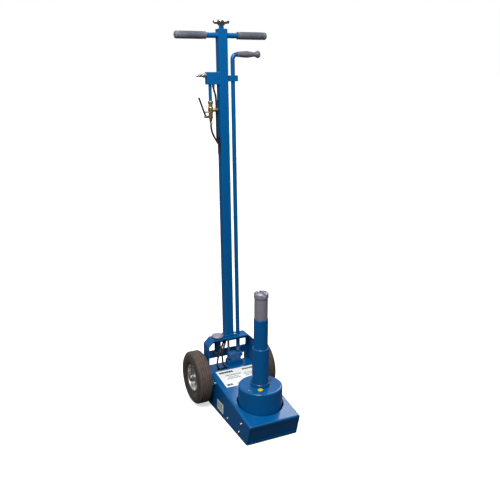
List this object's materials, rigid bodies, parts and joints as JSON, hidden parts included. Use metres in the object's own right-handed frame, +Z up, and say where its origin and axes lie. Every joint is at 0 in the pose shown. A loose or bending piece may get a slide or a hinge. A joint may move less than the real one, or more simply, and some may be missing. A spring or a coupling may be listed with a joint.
{
  "type": "air hydraulic axle jack",
  "caption": "Wheeled air hydraulic truck axle jack with a telescopic two stage ram, a sloping steel chassis, a tall tee handle, a release crank rod and an air trigger.",
  "frame": {"origin": "on the floor under the ram's axis, at the underside of the base plate", "axes": "+Z up along the ram, -Y towards the ram end of the chassis, +Y towards the wheels and the handle, +X to the right of a person looking along +Y"},
  "size_m": [0.392, 0.5548, 1.5911],
  "materials": {
    "blue_enamel": "gloss enamel",
    "machined_steel": "machined",
    "zinc_plated_steel": "zinc plated",
    "pressed_steel_rim": "galvanised",
    "motor_aluminium": "machined",
    "label_film": "printed film",
    "seal_rubber": "moulded",
    "plug_plastic": "moulded",
    "brass": "machined",
    "bush_bronze": "sintered",
    "tyre_rubber": "moulded",
    "grip_rubber": "moulded",
    "hose_rubber": "extruded",
    "chrome_casting": "polished casting",
    "saddle_steel": "phosphated",
    "black_steel": "black coated"
  },
  "bodies": {
    "chassis": {"base_plate": "blue_enamel", "chassis_cover": "blue_enamel", "front_plate": "blue_enamel", "rear_frame": "blue_enamel", "rear_panel": "blue_enamel", "reservoir_drum": "blue_enamel", "post_tube": "blue_enamel", "post_flange": "blue_enamel", "post_cap": "blue_enamel", "tee_bar": "blue_enamel", "guide_bracket": "blue_enamel", "manifold_block": "blue_enamel", "drop_tube": "blue_enamel", "valve_block": "blue_enamel", "ram_gland": "blue_enamel", "cylinder_foot": "machined_steel", "cylinder_barrel": "machined_steel", "pressure_pipe": "machined_steel", "axle": "machined_steel", "axle_blocks": "machined_steel", "pump_body": "machined_steel", "frame_bolts": "zinc_plated_steel", "axle_washers": "zinc_plated_steel", "axle_nuts": "zinc_plated_steel", "inlet_nipple": "zinc_plated_steel", "lever_pin": "zinc_plated_steel", "hose_ferrule": "zinc_plated_steel", "air_motor_body": "motor_aluminium", "air_motor_cap": "motor_aluminium", "labels": "label_film", "gland_wiper": "seal_rubber", "filler_washer": "seal_rubber", "hose_grommet": "seal_rubber", "filler_plug": "plug_plastic", "bleed_screw": "brass", "trigger_valve": "brass", "air_silencer": "brass", "grip_left": "grip_rubber", "grip_right": "grip_rubber", "supply_hose": "hose_rubber", "pilot_hose": "hose_rubber"},
    "wheel_left": {"tyre_left": "tyre_rubber", "rim_left": "pressed_steel_rim", "hub_bush_left": "bush_bronze"},
    "wheel_right": {"tyre_right": "tyre_rubber", "rim_right": "pressed_steel_rim", "hub_bush_right": "bush_bronze"},
    "stage_1": {"ram_stage_1": "blue_enamel", "stage_1_seal": "seal_rubber"},
    "stage_2": {"ram_stage_2": "blue_enamel"},
    "saddle": {"ram_saddle": "saddle_steel"},
    "feed_spindle": {"handwheel": "chrome_casting", "spindle_rod": "machined_steel"},
    "release_crank": {"control_rod": "blue_enamel", "crank_grip": "grip_rubber", "rod_coupling": "zinc_plated_steel"},
    "trigger": {"trigger_lever": "black_steel"},
    "plunger": {"valve_plunger": "zinc_plated_steel"},
    "stored_adapter": {"adapter": "saddle_steel"},
    "motor_piston": {"air_piston": "machined_steel"}
  },
  "joints": [
    {"name": "wheel_left_spin", "type": "hinge", "parent": "chassis", "child": "wheel_left", "pos_m": [-0.151, 0.3075, 0.115], "axis": [1, 0, 0], "continuous": true},
    {"name": "wheel_right_spin", "type": "hinge", "parent": "chassis", "child": "wheel_right", "pos_m": [0.151, 0.3075, 0.115], "axis": [1, 0, 0], "continuous": true},
    {"name": "stage_1_lift", "type": "slide", "parent": "chassis", "child": "stage_1", "axis": [0, 0, 1], "range_m": [-0.128, 0]},
    {"name": "stage_2_lift", "type": "slide", "parent": "stage_1", "child": "stage_2", "axis": [0, 0, 1], "range_m": [-0.119, 0.037]},
    {"name": "saddle_turn", "type": "hinge", "parent": "stage_2", "child": "saddle", "pos_m": [0, 0, 0.54], "axis": [0, 0, 1], "continuous": true},
    {"name": "handwheel_turn", "type": "hinge", "parent": "chassis", "child": "feed_spindle", "pos_m": [0, 0.36615, 1.57443], "axis": [0, 0.0407, 0.9992], "range_deg": [0, 270]},
    {"name": "crank_turn", "type": "hinge", "parent": "chassis", "child": "release_crank", "pos_m": [0.046, 0.36155, 1.46152], "axis": [0, 0.0407, 0.9992], "range_deg": [0, 110]},
    {"name": "trigger_press", "type": "hinge", "parent": "chassis", "child": "trigger", "pos_m": [-0.076, 0.35176, 1.22072], "axis": [0, 0.9992, -0.0407], "range_deg": [0, 12], "stiffness_Nm_per_rad": 0.6, "springref_deg": -8.59},
    {"name": "plunger_press", "type": "slide", "parent": "chassis", "child": "plunger", "axis": [1, 0, 0], "range_m": [0, 0.0043]},
    {"name": "adapter_lift", "type": "slide", "parent": "chassis", "child": "stored_adapter", "axis": [0, 0, 1], "range_m": [0, 0.08]},
    {"name": "piston_stroke", "type": "slide", "parent": "chassis", "child": "motor_piston", "axis": [0, -1, 0], "range_m": [0, 0.025], "stiffness_N_per_m": 300, "springref_m": -0.02}
  ],
  "couplings": [
    {"joint": "plunger_press", "follows": "trigger_press", "m_per_rad": 0.0205}
  ]
}
